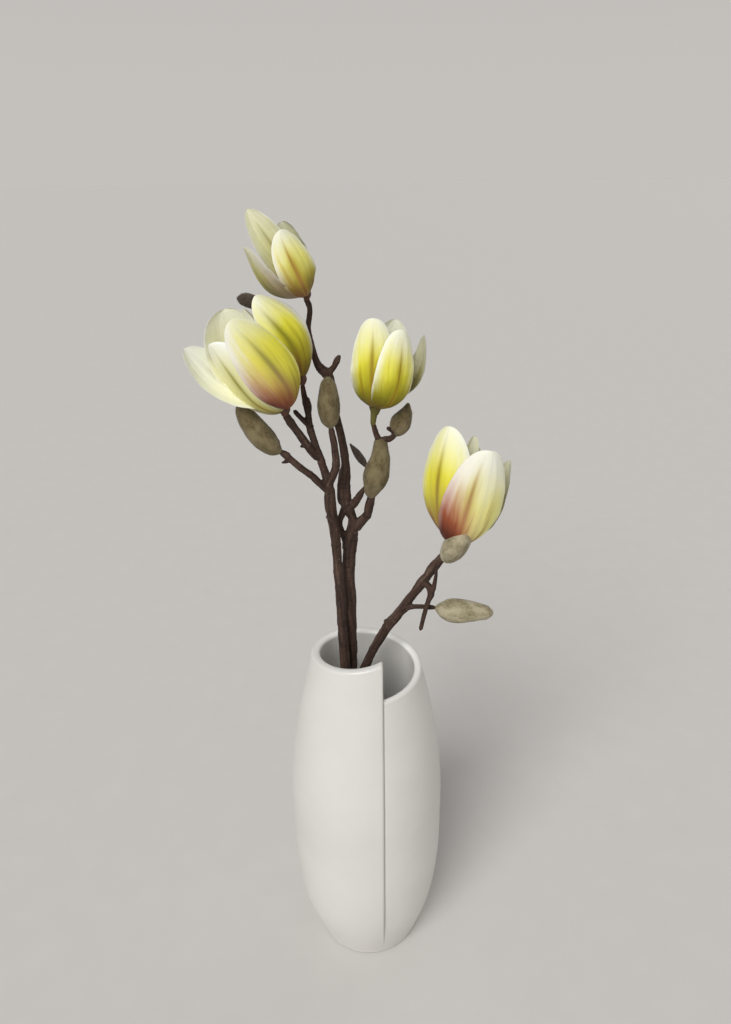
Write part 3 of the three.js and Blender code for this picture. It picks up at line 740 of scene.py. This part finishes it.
rightStem = {
    "limbs": [
        [
            (-20, 9, 8.3, 4.7), (-17, 7, 90, 4.7), (-13, 5, 190, 4.7), (-11, 4, 273, 4.6),
            (-10.5, 4, 325, 4.5), (-11, 4, 352, 4.4), (-10, 4, 375, 5.2), (-8, 4, 386, 4.4),
            (-7.5, 4, 396, 3.3), (-10.5, 4, 403.5, 4.2), (-12.5, 4, 410, 4.6), (-13, 4, 419, 4.6),
            (-12.5, 5, 427.5, 4.3), (-11.5, 6, 434.5, 3.1), (-12, 7, 442, 2.9), (-13, 8, 450, 2.7),
            (-16.5, 10, 466, 2.7), (-18.5, 11, 477.5, 2.7), (-22, 11, 497, 3.7), (-26, 11, 500.5, 3.1),
            (-29, 12, 505.5, 2.3), (-32.5, 14, 519.5, 1.9), (-33.5, 15, 526.5, 1.8), (-32, 14, 539, 1.9),
            (-34, 12, 545.5, 1.9),
        ],
        # a strand that leaves the stem and joins it again above
        [(-12, 4, 376, 2.9), (-15.5, 5, 385.5, 2.1), (-16.5, 5, 392.5, 1.9), (-13, 4, 404.5, 2.8)],
        # a knob beside the fork above the middle bud, and a spur in front of the forked bud
        [(-21, 11, 498, 2.6), (-17.5, 10, 502, 2), (-15.5, 9, 506, 2.1), (-13.5, 9, 510, 1.2)],
        [(-9, 3, 405, 3), (-5.5, 2, 409, 2.8), (-1.5, 1, 415.5, 2.3), (1.5, 0, 422, 0.8)],
        # through the forked bud to the middle bloom
        [
            (-6, 3, 388, 3.8), (-1, 2, 394.5, 3.5), (3, 1, 400, 3.1), (4.5, 0, 407, 3.1),
            (6, -2, 415, 2.7), (9, -2, 426, 2.3), (12, -1, 441, 2.3), (12, 0, 452, 2.3),
            (9.5, 0, 459, 2), (7.5, 0, 466.5, 1.8),
        ],
        [(12, 0, 450, 2.2), (14.5, 0, 455, 2.1), (18, 1, 455, 2.2), (22.5, 2, 457.5, 1.7)],
        [(22.5, 2, 458, 1.5), (19, 1.5, 461.5, 1.5), (16.5, 1, 463, 1.3)],
        # behind the forked bud to the leaf bud, whose darkness is painted shade
        [(3, 0, 400, 2), (5, 7, 410, 1.5), (6, 12, 421, 1.4), (3, 12, 432, 1.4)],
        # behind the left blooms to the bud whose darkness is painted shade
        [(-32.5, 14, 519, 1.6), (-42, 21, 528, 1.4), (-54, 22, 535, 1.3), (-63, 22, 539, 1.3)],
        # the low branch, which leans out over the rim
        [
            (-11, 4, 238, 3.6), (-6, 6, 254, 3.5), (1, 6, 270.5, 3.5), (7, 6, 284.5, 3.3),
            (12.5, 6, 295, 3.4), (18.5, 6, 306, 4), (23, 6, 312, 3.9), (33, 6, 327, 3.4),
            (37.5, 5, 334.5, 3.3), (42, 4, 342.5, 3.9), (46, 3, 349, 3.3), (50.5, 3, 356, 3.8),
            (57, 1, 366, 2.9), (61, 2, 371, 2.6),
        ],
        [(27, 6, 316, 2.6), (32.5, 4, 321.5, 2.1), (40.5, 2, 323.5, 1.9), (53, 0, 323.5, 1.7)],
        [
            (42.5, 4, 343, 2.6), (47, -1, 342.5, 2.7), (48.5, -4, 338.5, 2.9), (46.5, -5, 332.5, 2),
            (44, -6, 323, 1.8), (41, -6, 308, 1.7),
        ],
        [(48.5, -4, 338, 2.4), (50.5, -4, 344.5, 1.8), (51.5, -4, 352, 1.4), (52.5, -4, 361, 0.6)],
        [(18, 6, 306, 3), (15, 5, 310, 1.6)],
    ],
}

barkRelief = {
    "voxel": 0.62,
    "smoothing": 4,
    "pathSteps": 10,  # between two points of a limb, where the nearest one is looked for
    "limbGap": 37,  # between the patterns of one limb and the next
    "furrow": 0.55,  # how deep the long furrows go on the thickest limb
    "furrowFineness": 0.42,
    "ring": 0.22,  # how far the scars of old buds stand out
    "ringSpacing": 21.0,
    "lenticels": 0.045,  # for each square millimetre
    "lenticelLength": 0.42,
}
barkSizes = {
    "Furrow": "furrow", "Fineness": "furrowFineness", "Ring": "ring", "Ring spacing": "ringSpacing",
    "Lenticels": "lenticels", "Lenticel length": "lenticelLength",
}


def barkTree():
    # long furrows, bud scars and lenticels over a limb's surface
    tree, inputs = shapeTree("bark", {
        **{name: float for name in barkSizes},
        "Seed": int, "Bark": bpy.types.Material, "Lenticel": bpy.types.Material,
    })
    u, v, along = tree.split(tree.stored("bark"))
    girth = tree.split(tree.stored("limb"))[0]
    normal = tree.add("GeometryNodeInputNormal")
    fine, seed = inputs["Fineness"], inputs["Seed"]
    furrows = tree.noise(tree.join(u * fine, v * fine, along * 0.045), 1, 3, 0.55) - 0.5
    knots = tree.noise(tree.join(u * 0.1, v * 0.1, along * 0.09), 1, 2) - 0.5
    wander = tree.noise(tree.join(0, 0, along * 0.05), 1, 1) * 12
    scar = tree.bell(tree.sine((along + wander) * pi / inputs["Ring spacing"]), 0.11)
    heavy = tree.step(0.3, 3.6, girth)
    lift = (furrows * 2.4 + knots * 3.2) * inputs["Furrow"] * heavy + scar * inputs["Ring"]
    relief = tree.shift(inputs["Geometry"], normal * (lift * mm))

    spots = tree.scatter(relief, inputs["Lenticels"], seed)
    turned = Value(tree, spots.socket.node.outputs["Rotation"])
    longWay = tree.add("FunctionNodeAlignRotationToVector", {"axis": "X", "pivot_axis": "Z"},
                       {"Rotation": turned, "Vector": (0.0, 0.0, 1.0)})
    size = tree.chance(0.5, 1.2, seed) * inputs["Lenticel length"] * mm
    pip = tree.add("GeometryNodeMeshIcoSphere", None, {"Radius": 1.0, "Subdivisions": 1})
    pips = tree.add("GeometryNodeInstanceOnPoints", None, {
        "Points": spots, "Instance": pip, "Rotation": longWay,
        "Scale": tree.join(size, size * 0.5, size * 0.3),
    })
    pips = tree.add("GeometryNodeRealizeInstances", None, {"Geometry": pips})
    both = tree.together([tree.paint(relief, inputs["Bark"]), tree.paint(pips, inputs["Lenticel"])])
    smooth = tree.add("GeometryNodeSetShadeSmooth", None, {"Geometry": both})
    tree.add("NodeGroupOutput", None, {"Geometry": smooth})
    return tree


def buildStem(name, limbs, tree, seed, node):
    spec = barkRelief
    tubes = [meshPiece(name + "Limb", *tube(points)[:2]) for points in limbs]
    rough = joinPieces(name, tubes)
    remesh = rough.modifiers.new("join", "REMESH")
    remesh.mode = "VOXEL"
    remesh.voxel_size = spec["voxel"] * mm
    smooth = rough.modifiers.new("smooth", "SMOOTH")
    smooth.iterations = spec["smoothing"]
    settle(rough)

    # where each point lies round and along its limb, which the bark's pattern follows
    laid = []
    start = 0.0
    for points in limbs:
        limbPath, radii = stemPath(points, spec["pathSteps"])
        _, ups, across = framesAlong(limbPath)
        reach = lengthAlong(limbPath)
        laid.append((limbPath, ups, across, start + reach, radii))
        start += reach[-1] + spec["limbGap"]
    centres, normals, sides, lengths, girths = [np.concatenate(lists) for lists in zip(*laid)]
    nearest = kdtree.KDTree(len(centres))
    for i, centre in enumerate(centres):
        nearest.insert(centre, i)
    nearest.balance()
    mesh = rough.data
    flat = np.empty(len(mesh.vertices) * 3)
    mesh.vertices.foreach_get("co", flat)
    where = flat.reshape(-1, 3) / mm
    index = np.array([nearest.find(p)[1] for p in where])
    offset = where - centres[index]
    u = (offset * normals[index]).sum(1)
    v = (offset * sides[index]).sum(1)
    storeVectors(mesh, "bark", np.stack([u, v, lengths[index]], 1))
    storeVectors(mesh, "limb", np.stack([girths[index]] * 3, 1))

    bpy.data.objects.remove(rough)
    piece = grow(name, tree, {
        **{label: spec[key] for label, key in barkSizes.items()},
        "Seed": seed, "Bark": bark, "Lenticel": lenticel,
    }, mesh)
    return place(piece, "bark", node)


limbBark = barkTree()
buildStem("leftStem", leftStem["limbs"], limbBark, 3, "stem_left")
buildStem("rightStem", rightStem["limbs"], limbBark, 8, "stem_right")
print("stems made")


# Blooms

# what each petal has unless its bloom says otherwise
petalShape = {
    "thickness": 0.55,
    "roundness": 0.5,  # smaller is blunter
    "widestAt": 1.0,  # an exponent: over 1 moves the widest place towards the tip
    "bowAt": 0.65,  # the same for the bow
    "sweep": 0.0,  # how far it bends sideways
    "claw": 2.2,  # half the width at the very base
    "groove": 0.45, "ribAt": 0.0, "pleat": 0.16, "pleats": 5.0, "ruffle": 1.3, "dent": 1.0,
    "columns": 36, "rows": 62,
    # how strong each colour is, the last a painted shade for a petal that sits in the shade
    "yellow": 0.5, "flush": 0.1, "rib": 0.6, "deep": 0.5, "paintedShade": 0.0,
    "reach": 1.0,  # how far up the petal the yellow goes
    "lean": 0.0,  # which side the yellow keeps to, from -1 to 1
    "flushSide": 0.0,  # the same for the flush
    "flushReach": 1.0,  # how far up the flush goes
    "white": 0.0,  # how much whiter than cream the ground is
}
petalLengths = ["Thickness", "Bow", "Sweep", "Width", "Cup", "Claw", "Groove", "Pleat", "Ruffle", "Dent"]
petalRatios = {
    "Roundness": "roundness", "Widest at": "widestAt", "Bow at": "bowAt", "Rib at": "ribAt",
    "Pleats": "pleats",
}
petalVectors = ["Base", "Tip", "Face", "Tint", "Drift", "Depth", "Marks"]
# what is stored at every point for the paint
petalPaint = {"tint": "Tint", "drift": "Drift", "depth": "Depth", "marks": "Marks"}


def petalTree():
    # one cupped blade, made as two skins that meet in a thin edge
    tree, inputs = shapeTree("petal", {
        **{name: float for name in [*petalLengths, *petalRatios, "Variety"]},
        **{name: tuple for name in petalVectors},
        "Columns": int, "Rows": int, "Skin": bpy.types.Material,
    })
    grid = tree.add("GeometryNodeMeshGrid", None, {
        "Size X": 2.0, "Size Y": 2.0, "Vertices X": inputs["Columns"], "Vertices Y": inputs["Rows"],
    })
    # w runs across from -1 to 1 and s from base to tip, with the rows and columns closer at the edges
    x, y, _ = tree.split(tree.add("GeometryNodeInputPosition"))
    w = tree.sine(x * pi / 2)
    s = tree.atLeast(0.0, tree.atMost(1.0, 0.5 + 0.5 * tree.sine(y * pi / 2)))
    base, variety = inputs["Base"], inputs["Variety"]

    span = inputs["Tip"] - base
    sideways = tree.unit(tree.cross(span, inputs["Face"]))
    out = tree.unit(tree.cross(sideways, span))

    def middle(at):
        swell = tree.sine(pi * at ** inputs["Bow at"])
        return base + span * at + out * (inputs["Bow"] * swell) + sideways * (inputs["Sweep"] * swell)

    nudge = 0.002
    along = middle(tree.atMost(1.0, s + nudge)) - middle(tree.atLeast(0.0, s - nudge))
    across = tree.unit(tree.cross(along, out))
    normal = tree.unit(tree.cross(across, along))

    full = tree.atLeast(0.0, tree.sine(pi * s ** inputs["Widest at"])) ** inputs["Roundness"]
    claw = inputs["Claw"] * (1 - tree.step(0.0, 0.25, s))
    halfWidth = tree.atLeast(claw, inputs["Width"] * 0.5 * full)
    edge = w * w
    dents = (tree.noise(tree.join(w * 1.2, s * 2.4, variety * 5), 1, 2) - 0.5) * 2 * inputs["Dent"]
    waves = (tree.noise(tree.join(w * 0.7, s * 5, variety * 9), 1, 1) - 0.5) * 3
    waves = waves * inputs["Ruffle"] * edge * edge
    body = tree.step(0.03, 0.25, s) * (1 - tree.step(0.8, 1.0, s))
    crease = tree.bell(w - inputs["Rib at"], 0.09) * body * inputs["Groove"]
    folds = tree.sine((w + (dents * 60)) * pi * inputs["Pleats"]) * inputs["Pleat"] * body * (1 - edge)
    rise = dents * full + waves * full + folds - crease - inputs["Cup"] * full * edge
    point = middle(s) + across * (w * halfWidth) + normal * rise

    thin = (1 - edge * edge * edge * edge) ** 0.5
    blunt = tree.atMost(1.0, tree.sine(pi * s) * 10)
    half = inputs["Thickness"] * 0.5 * thin * tree.atLeast(0.0, blunt) ** 0.5
    skins = []
    for side, inside in ((1, 0), (-1, 1)):
        marks = {"spread": tree.join(w, s, inside)}
        marks.update({name: inputs[label] for name, label in petalPaint.items()})
        marked = grid
        for name, value in marks.items():
            kind = {"data_type": "FLOAT_VECTOR", "domain": "POINT"}
            marked = tree.add("GeometryNodeStoreNamedAttribute", kind,
                              {"Geometry": marked, "Name": name, "Value": value})
        moved = tree.add("GeometryNodeSetPosition", None,
                         {"Geometry": marked, "Position": point + normal * (half * side)})
        skins.append(tree.add("GeometryNodeFlipFaces", None, {"Mesh": moved}) if inside else moved)
    closed = tree.add("GeometryNodeMergeByDistance", None,
                      {"Geometry": tree.together(skins), "Distance": 0.02 * mm})
    finishShape(tree, closed, inputs["Skin"])
    return tree


# a petal runs from its bloom's base to its tip and bows out the way that its face looks
cushion = [(-1.4, 0.5), (0, 1), (1.6, 0.55)]  # where the petals meet: heights and radii, in cores
blooms = {
    "bloom_left": {
        "base": (-48, -20, 483), "core": 3.6,
        "petals": [
            {"tip": (-73, -45, 542), "face": (0.61, -0.79, -0.07), "bow": 17, "sweep": 3, "width": 34,
             "cup": 9, "roundness": 0.44, "yellow": 1.0, "lean": 0.2, "rib": 1.15, "deep": 0.75,
             "flush": 1.0, "flushSide": -0.75, "flushReach": 1.45, "white": 0.3},
            {"tip": (-106, -22, 522), "face": (-0.28, 0.6, -0.73), "bow": 7, "sweep": 4, "width": 27,
             "cup": 5, "widestAt": 1.5, "bowAt": 1.1,
             "yellow": 0.12, "rib": 0.1, "deep": 0.1, "flush": 0, "white": 0.7},
            {"tip": (-88, -34, 527), "face": (-0.6, -0.77, -0.2), "bow": 11, "width": 37, "cup": 7,
             "widestAt": 1.15, "roundness": 0.46,
             "yellow": 0.5, "lean": -0.35, "rib": 0.9, "deep": 0.5, "flush": 0, "white": 0.8},
            {"tip": (-80, -18, 544.5), "face": (0, 1, 0.1), "bow": 5, "sweep": 8, "width": 40, "cup": 8,
             "roundness": 0.38, "widestAt": 1.35, "yellow": 0.5, "rib": 0.2, "deep": 0.5, "white": 0.3},
            {"tip": (-66, -24, 536), "face": (0.75, 0.55, 0.2), "bow": 5, "width": 26, "cup": 6,
             "paintedShade": 0.35},
        ],
    },
    "bloom_left_back": {
        "base": (-37.5, -3, 497.5), "core": 3,
        "petals": [
            {"tip": (-63, -11, 550.5), "face": (0.72, -0.64, 0.27), "bow": 12, "sweep": 4.5, "width": 34,
             "cup": 8, "bowAt": 0.8, "ribAt": -0.42, "yellow": 1.0, "lean": -0.35, "rib": 1.25,
             "deep": 1.0, "flush": 0.05, "reach": 0.95, "white": 0.3},
            {"tip": (-73, 2, 541), "face": (-0.8, -0.1, -0.4), "bow": 7, "width": 24, "cup": 6,
             "paintedShade": 0.4},
            {"tip": (-59, 6, 545), "face": (0, 0.95, 0.1), "bow": 5, "width": 28, "cup": 6},
        ],
    },
    "bloom_top": {
        "base": (-33.5, 12, 548), "core": 3,
        "petals": [
            {"tip": (-46, -2, 587), "face": (0.63, -0.78, -0.08), "bow": 12, "sweep": -2.5, "width": 27,
             "cup": 7, "roundness": 0.42, "ribAt": -0.3,
             "yellow": 0.8, "lean": -0.05, "rib": 1.6, "deep": 1.4, "flush": 0.3, "flushSide": -0.6,
             "flushReach": 1.5, "reach": 0.95, "paintedShade": 0.06, "white": 0.3},
            {"tip": (-67.5, 16, 597.5), "face": (-0.1, 0.98, -0.15), "bow": 3, "width": 21, "cup": 5,
             "yellow": 0.55, "rib": 0.8, "deep": 0.9, "paintedShade": 0.2},
            {"tip": (-47.5, 20, 590), "face": (0.3, 0.9, 0.1), "bow": 5, "width": 22, "cup": 5,
             "roundness": 0.36, "paintedShade": 0.6},
            {"tip": (-70, 8, 576.5), "face": (-0.6, -0.42, -0.68), "bow": 12, "width": 34, "cup": 4,
             "bowAt": 0.75, "roundness": 0.55,
             "yellow": 0.9, "lean": -0.4, "rib": 0.9, "deep": 1.4, "flush": 0.6, "flushSide": 0.8,
             "flushReach": 1.6, "paintedShade": 0.62},
            {"tip": (-46, 12, 578), "face": (0.9, 0.3, 0), "bow": 4, "width": 18, "cup": 5, "paintedShade": 0.5},
        ],
    },
    "bloom_middle": {
        "base": (9, 0, 477.5), "core": 4,
        "stalk": [(7.4, 0, 465.2, 1.5), (7.5, 0, 466.8, 1.8), (8, 0, 471.5, 2.2), (9, 0, 477.5, 3)],
        "petals": [
            {"tip": (8, -8, 536), "face": (-0.2, -0.97, -0.15), "bow": 13, "width": 28.5, "cup": 7,
             "roundness": 0.36, "widestAt": 0.9, "ribAt": 0.05,
             "yellow": 1.0, "rib": 1.36, "deep": 1.4, "flush": 0, "reach": 0.9, "paintedShade": 0.02},
            {"tip": (25.5, -12, 529.5), "face": (0.3, -0.89, -0.32), "bow": 14.5, "sweep": 1, "width": 27,
             "cup": 5, "roundness": 0.39, "widestAt": 0.88, "ribAt": 0.1,
             "yellow": 1.0, "lean": 0.05, "rib": 1.36, "deep": 1.5, "flush": 0, "reach": 0.9, "paintedShade": 0.02},
            {"tip": (23, 10, 532), "face": (0.1, 0.95, 0), "bow": 9, "width": 28, "cup": 7,
             "roundness": 0.42, "yellow": 0.15, "rib": 0.1, "paintedShade": 0.12, "white": 0.4},
            {"tip": (40.5, 3, 523), "face": (0.85, 0.45, -0.35), "bow": 15, "width": 20, "cup": 4,
             "roundness": 0.6, "bowAt": 1.05, "yellow": 0.4, "deep": 1.4, "paintedShade": 0.6},
            {"tip": (7, 8, 530), "face": (-0.75, 0.65, 0), "bow": 9.2, "width": 24, "cup": 6},
        ],
    },
    "bloom_right": {
        "base": (65, 4, 376), "core": 4,
        "petals": [
            {"tip": (57.5, -2, 464.5), "face": (-0.6, -0.79, -0.05), "bow": 17, "width": 39, "cup": 9,
             "widestAt": 1.15, "bowAt": 0.8, "roundness": 0.46, "ribAt": -0.1,
             "yellow": 1.0, "lean": -0.1, "rib": 1.35, "deep": 1.0, "flush": 0.5, "flushReach": 0.85,
             "white": 0.35},
            {"tip": (82.5, -22, 454), "face": (0.08, -0.93, -0.35), "bow": 17, "sweep": -1, "width": 43,
             "cup": 10, "ribAt": -0.28, "roundness": 0.43,
             "yellow": 0.7, "lean": 0.3, "rib": 1.6, "deep": 0.1, "flush": 1.3, "flushSide": -0.8,
             "flushReach": 1.5, "reach": 0.85, "white": 0.4},
            {"tip": (77, 14, 452), "face": (-0.1, 1, 0.1), "bow": 9, "width": 14, "cup": 4,
             "roundness": 0.36, "yellow": 0.1, "paintedShade": 0.3},
            {"tip": (77, 18, 445), "face": (0.4, 0.9, 0), "bow": 8, "width": 40, "cup": 6,
             "yellow": 0.1, "paintedShade": 0.35},
            {"tip": (101, 4, 437.5), "face": (0.75, 0.6, -0.26), "bow": 13, "sweep": -2, "width": 25,
             "cup": 6, "roundness": 0.66, "yellow": 0.3, "deep": 0.8, "paintedShade": 0.55},
        ],
    },
}


def inMetres(point):
    return tuple(c * mm for c in point)


def buildPetal(name, tree, base, shape, variety):
    spec = {**petalShape, **shape}
    return grow(name, tree, {
        **{label: float(spec[label.lower()]) * mm for label in petalLengths},
        **{label: float(spec[key]) for label, key in petalRatios.items()},
        "Variety": float(variety),
        "Base": inMetres(base), "Tip": inMetres(spec["tip"]), "Face": tuple(map(float, spec["face"])),
        "Tint": (spec["yellow"], spec["flush"], spec["rib"]),
        "Drift": (spec["lean"], variety, spec["flushSide"]),
        "Depth": (spec["deep"], spec["reach"], spec["paintedShade"]),
        "Marks": (spec["ribAt"], spec["flushReach"], spec["white"]),
        "Columns": spec["columns"] + 1, "Rows": spec["rows"] + 1, "Skin": petalSkin,
    })


def buildBloom(node, tree, spec, seed):
    # every petal takes its folds and veins from another place in the noise
    parts = [
        buildPetal(f"{node}Petal{i}", tree, spec["base"], shape, seed + i * 1.7)
        for i, shape in enumerate(spec["petals"])
    ]
    x, y, z = spec["base"]
    core = spec["core"]
    paths = [[(x, y, z + core * height, core * radius) for height, radius in cushion]]
    if "stalk" in spec:
        paths.append(spec["stalk"])
    for path in paths:
        vertices, faces = tube(path, sides=20, perStep=8)[:2]
        parts.append(meshPiece(node + "Core", vertices, faces, [stalkSkin if "stalk" in spec else calyx]))
    piece = joinPieces(node + "Petals", parts)
    return place(piece, "petal", node)


petals = petalTree()
for seed, (node, spec) in enumerate(blooms.items()):
    buildBloom(node, petals, spec, seed * 11.3)
print("blooms made")


# Buds

buds = {
    "bud_left": [
        (-52, -16.5, 453, 1.9), (-56.5, -16.5, 456, 5.6), (-63.5, -16, 463, 7.8), (-71, -13, 472, 7),
        (-76, -10.5, 480, 4.8), (-78, -9, 486, 1.2),
    ],
    "bud_middle": [
        (-20, -9, 466.5, 2.5), (-20.5, -9, 471, 5.5), (-21, -8.5, 480, 7.2), (-21, -7, 490, 6),
        (-21, -5.5, 496, 4.4), (-21, -4.5, 499, 2.4),
    ],
    "bud_forked": [
        (6, -2, 414, 3.6), (6.2, -2, 419, 5.4), (8, -2, 425.5, 8), (9.7, -2, 432.5, 8.6),
        (12, -1, 442, 6.6), (12.3, 0, 450, 5), (12, 0, 456, 4),
    ],
    "bud_small": [
        (21.5, 2, 457, 1.8), (22.8, 3, 459, 4.8), (25.8, 4, 465, 6.9), (29.3, 5, 472, 4.4), (31, 6, 478, 1),
    ],
    "bud_low": [
        (52, 0, 323.5, 1.8), (55, 0, 323, 4.6), (60, -1, 322.5, 7.6), (67, -2, 322, 9), (76, -3, 322, 8),
        (84, -4, 322, 6.4), (90, -5, 322, 4.8), (94, -6, 322, 2.6),
    ],
    "bract_right": [
        (57.5, 0.5, 365, 2.5), (59.5, -3, 368.5, 6), (63, -8, 377, 8.4), (67, -13.5, 387.5, 7.4),
        (70.5, -17, 397, 3),
    ],
}
# buds at the back, painted darker as painted shade
shadedBuds = {
    "bud_back": [
        (-62, 22, 539, 1.5), (-66, 22, 541, 4), (-72, 22, 543, 4.4), (-76.5, 22, 544, 3.2),
        (-79, 22, 544.5, 1),
    ],
    "bud_leaf": [(3, 12, 431, 1.3), (-0.5, 12, 436.5, 2.6), (-4.5, 12, 442.5, 2.3), (-8.5, 12, 448.5, 0.6)],
}
paleBuds = {"bud_low", "bract_right"}
feltShape = {
    "sides": 36, "perStep": 12,
    "endRound": 0.9,  # in radii of the end
    "lump": 0.5, "lumpFineness": 0.16,
    "hairs": 3.2,  # for each square millimetre
    "hairLength": 0.9, "hairThickness": 0.035, "hairLean": 2.2,
}


def feltTree():
    # short hairs that lie towards the tip of the bud
    names = ["Lump", "Lump fineness", "Hairs", "Hair length", "Hair thickness", "Hair lean"]
    tree, inputs = shapeTree("felt", {
        **{name: float for name in names}, "Seed": int, "Felt": bpy.types.Material,
    })
    normal, seed = tree.add("GeometryNodeInputNormal"), inputs["Seed"]
    spot = tree.add("GeometryNodeInputPosition") * (1 / mm)
    lumps = (tree.noise(spot * inputs["Lump fineness"], 1, 3) - 0.5) * 2 * inputs["Lump"]
    body = tree.shift(inputs["Geometry"], normal * lumps)
    roots = tree.scatter(body, inputs["Hairs"], seed)
    away = Value(tree, roots.socket.node.outputs["Normal"])
    stray = tree.add("FunctionNodeRandomValue", {"data_type": "FLOAT_VECTOR"},
                     {0: (-0.5, -0.5, -0.5), 1: (0.5, 0.5, 0.5), "Seed": seed})
    lay = tree.add("FunctionNodeAlignRotationToVector", {"axis": "Z"},
                   {"Vector": away + tree.stored("along") * inputs["Hair lean"] + stray})
    length = tree.chance(0.6, 1.2, seed)
    hair = tree.add("GeometryNodeMeshCone", None, {
        "Vertices": 3, "Radius Top": 0.0, "Radius Bottom": inputs["Hair thickness"],
        "Depth": inputs["Hair length"],
    })
    hairs = tree.add("GeometryNodeInstanceOnPoints", None,
                     {"Points": roots, "Instance": hair, "Rotation": lay, "Scale": tree.join(1, 1, length)})
    finishShape(tree, tree.together([body, hairs]), inputs["Felt"])
    return tree


def buildBud(node, path, tree, skin, slotName, seed):
    spec = feltShape
    vertices, faces, along, grain = tube(path, spec["sides"], spec["perStep"], spec["endRound"])
    blank = meshPiece(node, vertices, faces)
    storeVectors(blank.data, "along", along)
    storeVectors(blank.data, "grain", grain)
    mesh = blank.data
    bpy.data.objects.remove(blank)
    piece = grow(node + "Felt", tree, {
        "Lump": spec["lump"] * mm, "Lump fineness": spec["lumpFineness"], "Hairs": spec["hairs"],
        "Hair length": spec["hairLength"] * mm, "Hair thickness": spec["hairThickness"] * mm,
        "Hair lean": spec["hairLean"], "Seed": seed, "Felt": skin,
    }, mesh)
    return place(piece, slotName, node)


feltHairs = feltTree()
for seed, (node, path) in enumerate(buds.items()):
    buildBud(node, path, feltHairs, paleFelt if node in paleBuds else felt, "felt", seed)
for seed, (node, path) in enumerate(shadedBuds.items(), 20):
    buildBud(node, path, feltHairs, shadedFelt, "dark_bud", seed)
print("buds made")


# Floor and light

studio = {
    "floorRadius": 60000,
    "floorSides": 96,
    "horizon": (1.53, 1.48, 1.41),  # the air low down, as bright as the far floor
    "sky": (0.86, 0.86, 0.87),
    "skyStart": 0.08, "skyFull": 0.65,  # where the sky begins and is full, as sines of the elevation
    "airStrength": 0.36,
    # where each lamp shines from, how wide it looks in degrees, and its strength
    "lamps": {
        "key": ((-500, -1000, 1000), 32, 2.35),
        "fill": ((600, 900, 800), 60, 0.32),
    },
}


def addStudio():
    spec = studio
    radius, sides = spec["floorRadius"], spec["floorSides"]
    turns = 2 * pi * np.arange(sides) / sides
    edge = [(radius * cos(turn), radius * sin(turn), 0) for turn in turns]
    floor = meshPiece("studioFloor", edge, [tuple(range(sides))], [makeFloor()])

    world = bpy.data.worlds.new("studio")
    bpy.context.scene.world = world
    bpy.context.scene.view_settings.view_transform = "Standard"
    world.use_nodes = True
    tree = Tree(world.node_tree)
    air = world.node_tree.nodes["Background"]
    up = tree.split(tree.add("ShaderNodeTexCoord"))[2]
    dome = tree.mix(tree.step(spec["skyStart"], spec["skyFull"], up), spec["horizon"], spec["sky"])
    tree.plug(dome, air.inputs["Color"])
    air.inputs["Strength"].default_value = spec["airStrength"]

    for name, (source, angle, strength) in spec["lamps"].items():
        lamp = bpy.data.lights.new(name, "SUN")
        lamp.angle = radians(angle)
        lamp.energy = strength
        holder = bpy.data.objects.new(name, lamp)
        holder.rotation_euler = (-Vector(source)).to_track_quat("-Z", "Y").to_euler()
        bpy.context.collection.objects.link(holder)


addStudio()

print("scene made")
